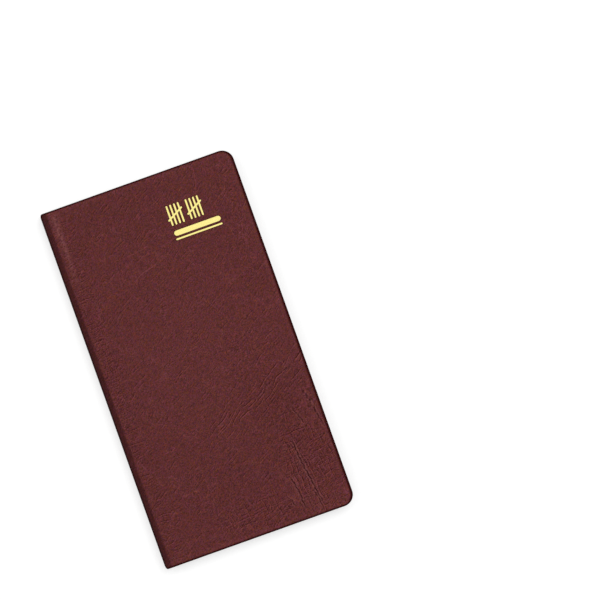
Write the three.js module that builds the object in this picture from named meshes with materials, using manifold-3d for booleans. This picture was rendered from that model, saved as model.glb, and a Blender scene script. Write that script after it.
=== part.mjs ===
// Pocket tally book: a soft burgundy cover welded over card boards, lined in dark sheet,
// round one sewn section of paper leaves.
// Millimetres. X runs from the spine (-X) to the fore edge (+X), +Y is the head, +Z is up.
// The book lies closed on its back cover, with the origin at the centre of its base.

import * as THREE from 'three';
import { mergeVertices } from 'three/addons/utils/BufferGeometryUtils.js';
import Module from 'manifold-3d';

const wasm = await Module();
wasm.setup();

// Cover sizes
const coverWidth = 92;
const coverHeight = 171.5;
const skinThickness = 0.45;
const boardThickness = 0.9;
const linerThickness = 0.25;
const foreCornerRadius = 5.5;
const spineCornerRadius = 1.5;
const edgeRollWidth = 1.2;
const edgeRollDepth = 0.7;
const weldWidth = 2.1;
const weldGrooveInset = 1.6;
const weldGrooveWidth = 0.4;
const weldGrooveDepth = 0.1;
const boardClearance = 0.05;
const boardSetback = 5.5;
const boardSkive = 1;

// The spine turns into each cover on this outer radius, and folds halfway round the turn
const spineTurnRadius = 3;
const foldGap = 0.15;

// Leaf sizes
const leavesPerSide = 20;
const leafThickness = 0.1;
const leafAir = 0.015;
const blockSlack = 0.1;
const headSquare = 2.1;
const foreSquare = 4;
const foreCreep = 1.8;
const leafCornerRadius = 0.5;
const leafFoldGap = 0.1;

// Sewing: one thread lies in the centre fold, the other along the spine
const threadRadius = 0.25;
const threadNeckRadius = 0.12;
const threadClearance = 0.05;
const firstHole = 14.9;
const stitchPitch = 15.7;
const stitchTaper = 0.8;
const sewingInset = 0.3;

// Gold stamping on the front cover: two tally gates over a thick and a thin rule.
// Lefts are measured from the spine and tops from the head.
const foilThickness = 0.06;
const foilRecess = 0.08;
const foilFit = 0.05;
const gateLeft = 54.9;
const gateTop = 15.6;
const gateHeight = 9.5;
const gateStroke = 0.8;
const gatePitch = 1.8;
const gateUprights = 4;
const gateOverhang = 0.9;
const gateSpacing = 9.2;
const ruleLeft = 55.1;
const ruleLength = 22.3;
const thickRuleTop = 27.6;
const thickRuleWidth = 2.4;
const thinRuleWidth = 0.8;
const ruleSpace = 1.1;

// Places worked out from the sizes above
const coverThickness = skinThickness + boardThickness + linerThickness;
const leafPitch = leafThickness + leafAir;
const halfBlock = leavesPerSide * leafPitch;
const middleZ = coverThickness + blockSlack + halfBlock;
const bookThickness = 2 * middleZ;
const spineX = -coverWidth / 2;
const foreX = coverWidth / 2;
const headY = coverHeight / 2;
const turnRadius = Math.min(spineTurnRadius, middleZ);
const foldAngle = Math.PI / 4;
const foldGapAngle = foldGap / 2 / turnRadius;
const boardHighX = spineX + boardSetback;
const boardLowX = boardHighX - boardSkive;
const threadRoom = 2 * (threadRadius + threadClearance);
const leafFoldX = spineX + skinThickness + linerThickness + threadRoom + halfBlock;
const leafWidth = foreX - foreSquare - leafFoldX;
const leafHeight = coverHeight - 2 * headSquare;

// How far a cutting shape runs past what it cuts, and the steps that rounds are made with
const overrun = 1;
const turnSteps = 5;
const rollSteps = 3;
const cornerSteps = 4;
const leafCornerSteps = 2;
const strokeEndSteps = 3;
const threadSides = 8;

const BACK = -1;
const FRONT = 1;

// Height of a point that lies a depth inside the outer face of the back or front cover
function coverZ(side, depth) {
  return side === BACK ? depth : bookThickness - depth;
}

// A rectangle with rounded corners at its spine end and at its fore edge
function roundedOutline(left, right, halfHeight, leftRadius, rightRadius, path = new THREE.Shape()) {
  const quarter = Math.PI / 2;
  path.moveTo(left + leftRadius, -halfHeight);
  path.lineTo(right - rightRadius, -halfHeight);
  path.absarc(right - rightRadius, rightRadius - halfHeight, rightRadius, -quarter, 0);
  path.absarc(right - rightRadius, halfHeight - rightRadius, rightRadius, 0, quarter);
  path.lineTo(left + leftRadius, halfHeight);
  if (leftRadius > 0) {
    path.absarc(left + leftRadius, halfHeight - leftRadius, leftRadius, quarter, 2 * quarter);
    path.absarc(left + leftRadius, leftRadius - halfHeight, leftRadius, 2 * quarter, 3 * quarter);
  }
  path.closePath();
  return path;
}

// The closed book's outline seen from above, drawn in by an inset all round
function coverOutline(inset, path) {
  return roundedOutline(
    spineX + inset, foreX - inset, headY - inset,
    Math.max(spineCornerRadius - inset, 0), foreCornerRadius - inset, path,
  );
}

function toSolid(geometry) {
  geometry.deleteAttribute('normal');
  geometry.deleteAttribute('uv');
  const merged = mergeVertices(geometry);
  return new wasm.Manifold(new wasm.Mesh({
    numProp: 3,
    vertProperties: merged.attributes.position.array,
    triVerts: Uint32Array.from(merged.index.array),
  }));
}

function toGeometry(solid) {
  const mesh = solid.getMesh();
  const geometry = new THREE.BufferGeometry();
  geometry.setAttribute('position', new THREE.BufferAttribute(mesh.vertProperties, 3));
  geometry.setIndex(new THREE.BufferAttribute(mesh.triVerts, 1));
  geometry.computeVertexNormals();
  return geometry;
}

// A flat shape in X and Y, raised from one height to another
function flatPrism(shape, fromZ, toZ, curveSegments) {
  const geometry = new THREE.ExtrudeGeometry(shape, {
    depth: Math.abs(toZ - fromZ), bevelEnabled: false, curveSegments,
  });
  geometry.translate(0, 0, Math.min(fromZ, toZ));
  return geometry;
}

// A slab between two depths inside a cover, with the cover's outline drawn in by an inset
function coverSlab(side, inset, fromDepth, toDepth) {
  return toSolid(flatPrism(
    coverOutline(inset), coverZ(side, fromDepth), coverZ(side, toDepth), cornerSteps,
  ));
}

// A cross-section in X and Z, given as [x, z] points, run past the head and the tail
function runningSection(points) {
  const shape = new THREE.Shape(points.map(([x, z]) => new THREE.Vector2(x, z)));
  const length = coverHeight + 2 * overrun;
  const geometry = new THREE.ExtrudeGeometry(shape, { depth: length, bevelEnabled: false });
  geometry.rotateX(Math.PI / 2);
  geometry.translate(0, length / 2, 0);
  return toSolid(geometry);
}

// The whole closed book as one block, with the outer faces rolled over at their edges
function bookEnvelope() {
  const geometry = new THREE.ExtrudeGeometry(coverOutline(0), {
    depth: bookThickness - 2 * edgeRollDepth,
    bevelThickness: edgeRollDepth,
    bevelSize: edgeRollWidth,
    bevelOffset: -edgeRollWidth,
    bevelSegments: rollSteps,
    curveSegments: cornerSteps,
  });
  geometry.translate(0, 0, edgeRollDepth);
  return toSolid(geometry);
}

// Points [x, depth] on the turn into the spine, a depth inside the outer face.
// The angle is 0 where the cover is flat and a quarter turn where the spine is upright.
function turnPoints(depth, fromAngle, toAngle) {
  const radius = turnRadius - depth;
  return Array.from({ length: turnSteps + 1 }, (_, step) => {
    const angle = fromAngle + (toAngle - fromAngle) * step / turnSteps;
    return [
      spineX + turnRadius - radius * Math.sin(angle),
      turnRadius - radius * Math.cos(angle),
    ];
  });
}

// One surface of a cover, from past the fore edge to the fold. A surface that passes inside
// the board steps down beside it to the plain sheet.
function coverLine(depth, insideBoard) {
  const turn = turnPoints(depth, 0, foldAngle - foldGapAngle);
  if (!insideBoard) return [[foreX + overrun, depth], ...turn];
  const raised = depth + boardThickness;
  return [[foreX + overrun, raised], [boardHighX, raised], [boardLowX, depth], ...turn];
}

// A layer of a cover between two of its surfaces
function coverLayer(side, outerLine, innerLine) {
  const points = [...outerLine, ...innerLine.reverse()];
  return runningSection(points.map(([x, depth]) => [x, coverZ(side, depth)]));
}

// The board's cross-section, skived on its spine edge, run up to a depth
function boardSection(side, innerDepth) {
  const rise = (innerDepth - skinThickness) / boardThickness;
  return runningSection([
    [foreX, skinThickness],
    [boardLowX, skinThickness],
    [boardLowX + boardSkive * rise, innerDepth],
    [foreX, innerDepth],
  ].map(([x, depth]) => [x, coverZ(side, depth)]));
}

// One surface of the spine strip, from the fold at the back cover to the fold at the front
function spineLine(depth) {
  const lower = turnPoints(depth, foldAngle + foldGapAngle, Math.PI / 2);
  const upper = lower.map(([x, z]) => [x, bookThickness - z]).reverse();
  return [...lower, ...upper];
}

function spineLayer(outerDepth, innerDepth) {
  return runningSection([...spineLine(outerDepth), ...spineLine(innerDepth).reverse()]);
}

const envelope = bookEnvelope();

function coverSkin(side) {
  const layer = coverLayer(side, coverLine(0, false), coverLine(skinThickness, true));
  const pocketDepth = skinThickness + boardThickness;
  const pocket = coverSlab(side, weldWidth, skinThickness, pocketDepth + overrun)
    .intersect(boardSection(side, pocketDepth + overrun));
  return layer.intersect(envelope).subtract(pocket);
}

function coverBoard(side) {
  const innerDepth = skinThickness + boardThickness;
  return coverSlab(side, weldWidth + boardClearance, skinThickness, innerDepth)
    .intersect(boardSection(side, innerDepth));
}

function coverLiner(side) {
  const layer = coverLayer(
    side, coverLine(skinThickness, true), coverLine(skinThickness + linerThickness, true),
  );
  const ring = coverOutline(weldGrooveInset);
  ring.holes.push(coverOutline(weldGrooveInset + weldGrooveWidth, new THREE.Path()));
  const groove = flatPrism(
    ring,
    coverZ(side, coverThickness - weldGrooveDepth),
    coverZ(side, coverThickness + overrun),
    cornerSteps,
  );
  return layer.intersect(envelope).subtract(toSolid(groove));
}

// A round-ended stroke of the stamping, widened all round by a margin.
// Its ends are [from spine, from head] points.
function strokeSolid([fromX, fromDown], [toX, toDown], width, margin, lowZ, highZ) {
  const start = new THREE.Vector2(spineX + fromX, headY - fromDown);
  const end = new THREE.Vector2(spineX + toX, headY - toDown);
  const heading = end.clone().sub(start).angle();
  const radius = width / 2 + margin;
  const quarter = Math.PI / 2;
  const shape = new THREE.Shape();
  shape.absarc(end.x, end.y, radius, heading - quarter, heading + quarter);
  shape.absarc(start.x, start.y, radius, heading + quarter, heading + 3 * quarter);
  shape.closePath();
  return toSolid(flatPrism(shape, lowZ, highZ, strokeEndSteps));
}

// The strokes of a tally gate: uprights with a bar slanting across them
function gateStrokes(index) {
  const left = gateLeft + gateOverhang + index * gateSpacing;
  const right = left + (gateUprights - 1) * gatePitch;
  const top = gateTop + gateStroke / 2;
  const bottom = gateTop + gateHeight - gateStroke / 2;
  const uprights = Array.from({ length: gateUprights }, (_, upright) => {
    const x = left + upright * gatePitch;
    return { from: [x, top], to: [x, bottom], width: gateStroke };
  });
  const barRise = gateHeight / 4;
  const bar = {
    from: [left - gateOverhang, bottom - barRise],
    to: [right + gateOverhang, top + barRise],
    width: gateStroke,
  };
  return [...uprights, bar];
}

// A level rule with round ends
function ruleStroke(top, width) {
  const level = top + width / 2;
  return [{
    from: [ruleLeft + width / 2, level],
    to: [ruleLeft + ruleLength - width / 2, level],
    width,
  }];
}

const stamping = {
  foil_gate_left: gateStrokes(0),
  foil_gate_right: gateStrokes(1),
  foil_rule_thick: ruleStroke(thickRuleTop, thickRuleWidth),
  foil_rule_thin: ruleStroke(thickRuleTop + thickRuleWidth + ruleSpace, thinRuleWidth),
};

function joinStrokes(strokes, margin, lowZ, highZ) {
  return strokes
    .map(({ from, to, width }) => strokeSolid(from, to, width, margin, lowZ, highZ))
    .reduce((joined, stroke) => joined.add(stroke));
}

// The front skin, pressed in where the foil lies
function stampedSkin() {
  const floorZ = bookThickness - foilRecess;
  return Object.values(stamping).reduce((skin, strokes) => (
    skin.subtract(joinStrokes(strokes, foilFit, floorZ, bookThickness + overrun))
  ), coverSkin(FRONT));
}

function foilSolid(strokes) {
  const floorZ = bookThickness - foilRecess;
  return joinStrokes(strokes, 0, floorZ, floorZ + foilThickness);
}

// One leaf beside the fold line. The innermost leaves end short of the thread in the fold,
// and each leaf is a little narrower than the one outside it, as a trimmed section opens.
function leafGeometry(index) {
  const toMiddle = leafAir / 2 + index * leafPitch;
  const reach = threadRadius + threadClearance;
  const besideThread = Math.sqrt(Math.max(reach ** 2 - toMiddle ** 2, 0));
  const spineEnd = Math.max(leafFoldGap, besideThread);
  const foreEnd = leafWidth - foreCreep * (leavesPerSide - 1 - index) / leavesPerSide;
  const outline = roundedOutline(spineEnd, foreEnd, leafHeight / 2, 0, leafCornerRadius);
  return flatPrism(outline, 0, leafThickness, leafCornerSteps);
}

// A run of stitches along Y, necked where the thread dives into each hole. The holes are counted
// from the head of the leaves.
function threadGeometry() {
  const reach = leafHeight / 2 - sewingInset;
  const holes = [];
  for (let hole = leafHeight / 2 - firstHole; hole > stitchTaper - reach; hole -= stitchPitch) {
    holes.unshift(hole);
  }
  const profile = [new THREE.Vector2(0, -reach), new THREE.Vector2(threadRadius, -reach)];
  for (const hole of holes) {
    profile.push(
      new THREE.Vector2(threadRadius, hole - stitchTaper),
      new THREE.Vector2(threadNeckRadius, hole),
      new THREE.Vector2(threadRadius, hole + stitchTaper),
    );
  }
  profile.push(new THREE.Vector2(threadRadius, reach), new THREE.Vector2(0, reach));
  return new THREE.LatheGeometry(profile, threadSides);
}

const finishes = {
  skin: { color: 0x622c30, roughness: 0.55, metalness: 0 },
  board: { color: 0x8f8474, roughness: 0.9, metalness: 0 },
  liner: { color: 0x4a4341, roughness: 0.7, metalness: 0 },
  foil: { color: 0xe6c766, roughness: 0.3, metalness: 1 },
  leaf: { color: 0xf4f3ef, roughness: 0.85, metalness: 0 },
  thread: { color: 0xbfafa8, roughness: 0.8, metalness: 0 },
};

function piece(name, geometry, finish, x = 0, z = 0) {
  const mesh = new THREE.Mesh(geometry, new THREE.MeshStandardMaterial(finishes[finish]));
  mesh.name = name;
  mesh.position.set(x, 0, z);
  return mesh;
}

function group(...children) {
  const holder = new THREE.Group();
  holder.add(...children);
  return holder;
}

const backCover = group(
  piece('back_skin', toGeometry(coverSkin(BACK)), 'skin'),
  piece('back_board', toGeometry(coverBoard(BACK)), 'board'),
  piece('back_liner', toGeometry(coverLiner(BACK)), 'liner'),
);

const spineInnerDepth = skinThickness + linerThickness;
const spine = group(
  piece('spine_skin', toGeometry(spineLayer(0, skinThickness).intersect(envelope)), 'skin'),
  piece('spine_liner', toGeometry(spineLayer(skinThickness, spineInnerDepth).intersect(envelope)),
    'liner'),
  piece('spine_thread', threadGeometry(), 'thread', spineX + spineInnerDepth + threadRoom / 2, middleZ),
);

const frontCover = group(
  piece('front_skin', toGeometry(stampedSkin()), 'skin'),
  piece('front_board', toGeometry(coverBoard(FRONT)), 'board'),
  piece('front_liner', toGeometry(coverLiner(FRONT)), 'liner'),
  ...Object.entries(stamping).map(([name, strokes]) => (
    piece(name, toGeometry(foilSolid(strokes)), 'foil')
  )),
);

// The sewn section hangs on its fold line, with its leaves numbered from the middle outwards
const section = group(piece('fold_thread', threadGeometry(), 'thread'));
section.position.set(leafFoldX, 0, middleZ);
for (let index = 0; index < leavesPerSide; index += 1) {
  const number = String(index + 1).padStart(2, '0');
  const toMiddle = leafAir / 2 + index * leafPitch;
  section.add(
    piece(`back_leaf_${number}`, leafGeometry(index), 'leaf', 0, -toMiddle - leafThickness),
    piece(`front_leaf_${number}`, leafGeometry(index), 'leaf', 0, toMiddle),
  );
}

export default group(backCover, spine, frontCover, section);
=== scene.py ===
"""Pocket tally book: looks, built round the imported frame.

Lengths in this script are millimetres until a mesh is made, and metres after that.
Across the unrolled cover, a distance runs from the middle of the spine: front positive, back negative.
"""

import math

import bpy
import numpy as np
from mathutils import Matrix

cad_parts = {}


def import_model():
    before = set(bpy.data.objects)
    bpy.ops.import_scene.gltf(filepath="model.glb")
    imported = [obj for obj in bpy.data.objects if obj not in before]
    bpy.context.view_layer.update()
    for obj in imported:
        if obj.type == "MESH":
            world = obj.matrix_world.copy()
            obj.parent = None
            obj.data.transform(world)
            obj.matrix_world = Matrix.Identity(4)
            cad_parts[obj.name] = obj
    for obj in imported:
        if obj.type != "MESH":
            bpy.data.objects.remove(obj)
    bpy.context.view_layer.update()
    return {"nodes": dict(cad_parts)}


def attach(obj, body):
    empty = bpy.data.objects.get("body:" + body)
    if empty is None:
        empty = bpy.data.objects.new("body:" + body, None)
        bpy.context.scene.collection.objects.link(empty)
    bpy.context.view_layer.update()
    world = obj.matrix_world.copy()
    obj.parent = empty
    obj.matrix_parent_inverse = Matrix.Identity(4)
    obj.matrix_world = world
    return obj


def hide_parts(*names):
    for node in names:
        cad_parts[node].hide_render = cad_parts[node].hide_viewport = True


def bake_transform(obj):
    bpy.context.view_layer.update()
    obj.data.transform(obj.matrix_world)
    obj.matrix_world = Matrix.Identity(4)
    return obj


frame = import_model()

MM = 0.001

# Cover
SPINE_X, FORE_X = -46.0, 46.0
HEAD_Y = 85.75
THICK = 8.0
MIDDLE_Z = THICK / 2
TURN_R = 3.0
SKIN, BOARD, LINER = 0.45, 0.9, 0.25
FORE_CORNER, SPINE_CORNER = 5.5, 0.9
BOARD_LOW_X, BOARD_SKIVE = -41.5, 1.0

# Distances from the middle of the spine to where its flat ends, where the round turn ends, and the
# fore edge. On a cover's face the distance is x plus UNROLL.
SPINE_FLAT = MIDDLE_Z - TURN_R
TURN_END = SPINE_FLAT + TURN_R * math.pi / 2
UNROLL = TURN_END - SPINE_X - TURN_R
COVER_END = UNROLL + FORE_X

# The cover's rolled edge
ROLL_WIDTH = 1.2
ROLL_DEPTH, SPINE_ROLL_DEPTH = 0.7, 0.4

# In from the edge: the skin's hidden face comes up over the board, and the liner has its lip and its
# welded groove
SEAL_FROM, SEAL_TO = 1.0, 1.9
LIP_WIDTH, LIP_DEPTH = 0.4, 0.12
WELD, WELD_WIDTH, WELD_DEPTH = 1.8, 0.22, 0.1

# How far the leather lies below its plain place on the face, which leaves room for its ripples
SETTLE_DEPTH = 0.08

# A groove and a ridge beside the spine, placed from the spine's edge
GROOVE_AT, GROOVE_WIDTH, GROOVE_DEPTH = 4.2, 0.9, 0.06
RIDGE_AT, RIDGE_HEIGHT = 6.0, 0.05

# Leaves
SHEETS = 20
LEAF = 0.1
LEAF_AIR = 0.015
LEAF_PITCH = LEAF + LEAF_AIR
FOLD_X = -42.4
LEAF_WIDTH, LEAF_HEIGHT = 84.4, 167.3
FORE_CREEP = 1.8
LEAF_CORNER = 0.5
LEAF_PLAY = 0.04
LEAF_ROWS = (-1.0, -0.985, -0.9, -0.5, 0.0, 0.5, 0.9, 0.985, 1.0)

# Ruling of a leaf: distances from its head, and the shares of its width where the columns are
RULING_TOP, RULING_PITCH, RULING_LINES = 17.5, 6.29, 23
RULING_SHARES = (0.228, 0.706)
LINE_FULL, LINE_END = 0.1, 0.26

# How far apart two sheets' places lie in the paper's texture
SHEET_STEP = 7.0

# Sewing: its holes counted from the head of the leaves, its strands, and how thin they are at a hole
THREAD_INSET, FIRST_HOLE, STITCH = 0.3, 14.9, 15.7
STRANDS, STRAND_R, STRAND_OFFSET, TWIST_LENGTH = 2, 0.13, 0.115, 1.6
STRAND_SIDES, STRAND_STEP = 8, 0.28
HOLE_REACH, HOLE_SHARE = 0.8, 0.35
THREAD_OFF_LINER = 0.3

# Gold stamping, measured from the spine and from the head
GATE_LEFT, GATE_TOP, GATE_HEIGHT = 54.9, 15.6, 9.5
GATE_STROKE, GATE_PITCH, GATE_OVERHANG, GATE_SPACING = 0.8, 1.8, 0.9, 9.2
UPRIGHTS = 4
RULE_LEFT, RULE_LENGTH, RULE_TOP = 55.1, 22.3, 27.6
THICK_RULE, THIN_RULE, RULE_SPACE = 2.4, 0.8, 1.1
STAMP_DEPTH = 0.09
FOIL_LOW, FOIL_HIGH, FOIL_EASE = THICK - 0.08, THICK - 0.015, 0.02

# Headings on the unrolled cover, in degrees
GRAIN_HEADING = -38
HATCH_HEADINGS = (86, -6)
SLANT_HEADING, HINGE_HEADING = -34, -5
STEEP_HEADING, LEVEL_HEADING = 84, -8

# Scratches of the front cover: their width and longest fade, and then from where to where on the
# unrolled cover, and how pale
SCRATCH_WIDTH, SCRATCH_FADE = 0.32, 3.0
SCRATCHES = (
    ((31.0, 41.6), (46.6, 47.3), 0.62), ((33.7, 54.0), (46.3, 55.9), 0.36),
    ((25.2, 67.8), (28.4, 68.4), 0.55), ((71.0, 19.6), (77.1, 21.9), 0.5),
    ((76.0, 84.6), (73.4, 71.6), 0.3),
)

# Creases of the front cover: width, depth, and points from the spine and from the head
CREASES = (
    (0.24, 0.10, ((78.6, 120.5), (79.9, 124.0), (81.8, 129.5))),
    (0.26, 0.13, ((74.0, 134.7), (74.2, 139.9), (74.5, 143.9), (75.1, 148.4), (76.0, 153.8),
                  (76.5, 157.7), (77.0, 161.7), (78.2, 167.2))),
    (0.24, 0.10, ((85.8, 113.5), (87.4, 119.4), (88.3, 124.6), (89.5, 131.3), (90.2, 134.5))),
    (0.22, 0.07, ((84.2, 133.8), (88.6, 133.9))),
    (0.22, 0.07, ((67.8, 138.1), (70.2, 138.7))),
    (0.22, 0.07, ((71.4, 145.7), (74.0, 145.1))),
    (0.22, 0.06, ((85.0, 89.0), (85.7, 92.1))),
    (0.22, 0.06, ((82.2, 93.3), (83.5, 96.7))),
    (0.24, 0.11, ((67.1, 149.9), (68.2, 153.0), (68.8, 156.7), (69.4, 159.4), (69.2, 163.2),
                  (69.7, 166.1))),
    (0.22, 0.08, ((62.8, 158.3), (64.7, 160.7), (65.4, 164.1))),
    (0.24, 0.10, ((75.4, 159.8), (76.6, 163.4), (77.1, 168.8))),
    (0.22, 0.06, ((72.2, 151.5), (73.8, 151.0))),
    (0.22, 0.06, ((77.9, 151.3), (80.9, 151.9))),
    (0.22, 0.06, ((69.7, 161.7), (71.7, 161.7), (75.6, 161.9))),
    (0.4, 0.04, ((68.6, 111.2), (70.3, 109.0), (72.0, 106.8))),
    (0.4, 0.04, ((79.6, 105.4), (82.4, 103.6), (85.2, 102.2))),
    (0.2, 0.03, ((31.0, 55.6), (35.2, 52.6), (40.0, 49.4))),
)

# Depths at which a crease's painted shade is darkest and the painted highlight on its lips palest
CREASE_FULL_SHADE, CREASE_FULL_HIGHLIGHT = 0.09, 0.1

# A band of short wrinkles slanting down from the fore edge, as points in the same way
BAND = ((91.0, 98.5), (84.0, 103.7), (70.3, 109.6), (63.8, 113.9), (56.8, 117.2), (44.4, 117.8))
BAND_REACH = 4.5

# Paler and darker areas of the front cover: x and y of the middle, reach each way, and how much
TONE_PATCHES = (
    (4, 10, 32, 28, 0.035), (29, -32, 9, 11, -0.08), (41, -81, 14, 8, 0.07), (-18, 74, 26, 14, -0.03),
    (-5, -56, 24, 10, -0.03), (-40, -12, 5, 90, -0.035),
)

# Places where it has been flexed most, in the same way
FLEXED = (
    (33, -62, 15, 34, 1.0), (5, -76, 28, 9, 0.8), (-38, 5, 5, 40, 0.5), (-15, -60, 20, 15, 0.4),
    (20, -5, 15, 20, 0.4), (38, 40, 6, 30, 0.35),
)

# Mesh steps of the cover: in from an edge, and then on plain leather, creases, stamping and hinge
EDGE_STEPS = (0.0, 0.05, 0.12, 0.2, 0.3, 0.42, 0.56, 0.72, 0.9, 1.1, 1.3, 1.6, 2.0, 2.5, 3.0, 3.6, 4.3,
              5.0, 5.7, 6.5)
FINE_STEPS = (0.0, 0.06, 0.14, 0.24, 0.36, 0.5, 0.75, 1.0, 1.25, 1.45, 1.58, 1.7, 1.8, 1.9, 2.02, 2.15,
              2.4, 2.7, 3.0, 3.3, 3.6, 3.9, 4.2, 4.5, 4.8, 5.1, 5.5, 6.0, 6.5)
COARSE, CREASE_STEP, STAMP_STEP, HINGE_STEP = 1.6, 0.45, 0.22, 0.45
SPINE_STEP, TURN_STEPS = 0.5, 14

# Where the steps change: across the unrolled cover, and up it
HINGE_END = TURN_END + 8
STAMP_FROM, STAMP_TO = UNROLL + 8.2, UNROLL + 32.2
FORE_FROM = COVER_END - EDGE_STEPS[-1]
STAMP_LOW, STAMP_HIGH = 53.0, 70.9
EDGE_LEVEL = HEAD_Y - EDGE_STEPS[-1]

# Camera: straight above, turned as the photo is, with so many millimetres in a pixel
PICTURE, PIXEL = 600, 0.45495
CAMERA_X, CAMERA_Y, CAMERA_TURN = 52.824, 9.447, -19.66
LENS, SENSOR = 200, 36


def smooth(a, b, x):
    """0 below a, 1 above b, and an even turn between them."""
    t = np.clip((x - a) / (b - a), 0, 1)
    return t * t * (3 - 2 * t)


def spaced(*spans):
    """Places from each (start, end, step) span, with no place twice."""
    places = []
    for start, end, step in spans:
        count = max(1, round((end - start) / step))
        places += [start + (end - start) * k / count for k in range(count + 1)]
    return np.array(sorted(set(round(p, 4) for p in places)))


def make_mesh(name, vertices, faces):
    """A mesh from vertices in millimetres."""
    mesh = bpy.data.meshes.new(name)
    mesh.from_pydata((np.asarray(vertices) * MM).tolist(), [], faces)
    return mesh


def shade(mesh, material, sharp_degrees):
    """One material all over, smooth but for the mesh's hard edges."""
    mesh.materials.clear()
    mesh.materials.append(material)
    mesh.polygons.foreach_set("use_smooth", [True] * len(mesh.polygons))
    mesh.set_sharp_from_angle(angle=math.radians(sharp_degrees))


def add_object(name, data):
    """A new object in the scene."""
    made = bpy.data.objects.new(name, data)
    bpy.context.scene.collection.objects.link(made)
    return made


def make_piece(name, vertices, faces, material, attributes, sharp_degrees=40):
    """A mesh object, with numbers or places that its material reads at each vertex."""
    mesh = make_mesh(name, vertices, faces)
    for key, values in attributes.items():
        values = np.asarray(values, np.float32)
        kind, field = ("FLOAT", "value") if values.ndim == 1 else ("FLOAT_VECTOR", "vector")
        mesh.attributes.new(key, kind, "POINT").data.foreach_set(field, values.ravel())
    shade(mesh, material, sharp_degrees)
    mesh.validate()
    mesh.update()
    return add_object(name, mesh)


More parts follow.
